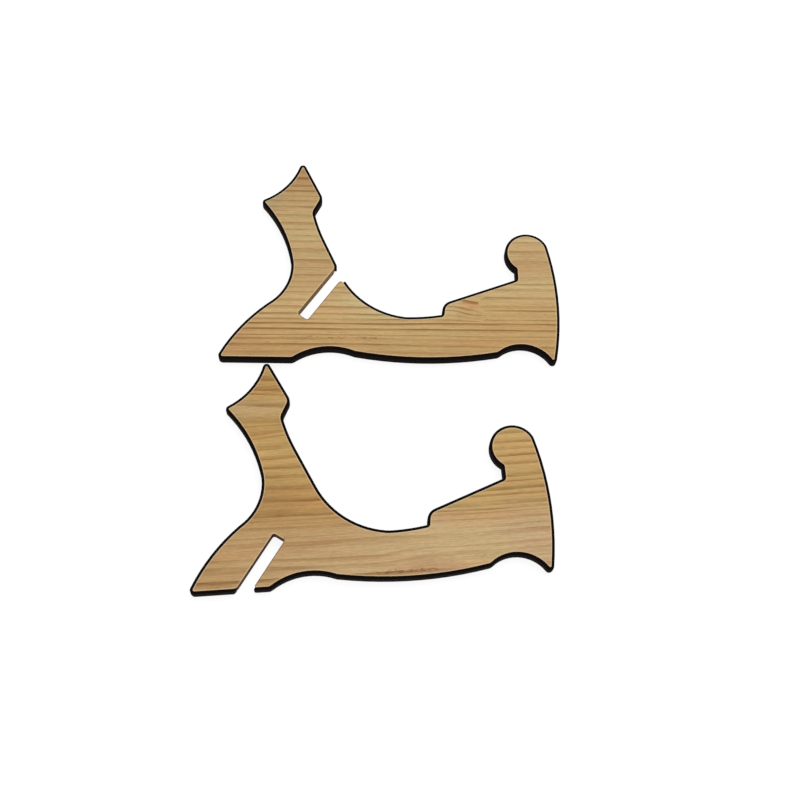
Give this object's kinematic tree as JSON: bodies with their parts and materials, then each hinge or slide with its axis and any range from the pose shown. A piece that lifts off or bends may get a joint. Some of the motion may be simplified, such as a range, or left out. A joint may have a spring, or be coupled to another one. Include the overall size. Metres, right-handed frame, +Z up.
{
  "type": "ukulele stand",
  "caption": "Knock-down ukulele stand of wooden boards with half-lap slots that cross to form a cradle, lying taken apart and flat, with soft black edge strips.",
  "frame": {"origin": "middle of the box round both boards, on the surface that they lie on", "axes": "+Z up from that surface, +X along the upper board's base line from its foot to its toe, +Y from the lower board to the upper board"},
  "size_m": [0.2976, 0.388, 0.009],
  "materials": {
    "face_veneer": "matte oiled, straight horizontal grain",
    "core_ply": "bare cut plywood edge, slightly charred",
    "edge_strip": "soft matte black strip"
  },
  "bodies": {
    "upper_board": {"upper_board_bottom_veneer": "face_veneer", "upper_board_core": "core_ply", "upper_board_top_veneer": "face_veneer", "upper_board_edge_strip": "edge_strip"},
    "lower_board": {"lower_board_bottom_veneer": "face_veneer", "lower_board_core": "core_ply", "lower_board_top_veneer": "face_veneer", "lower_board_edge_strip": "edge_strip"}
  },
  "joints": [
    {"name": "lower_board_tip_up", "type": "hinge", "parent": "upper_board", "child": "lower_board", "pos_m": [-0.14721, -0.19412, 0], "axis": [0.9973, 0.0732, 0], "range_deg": [0, 90]}
  ]
}
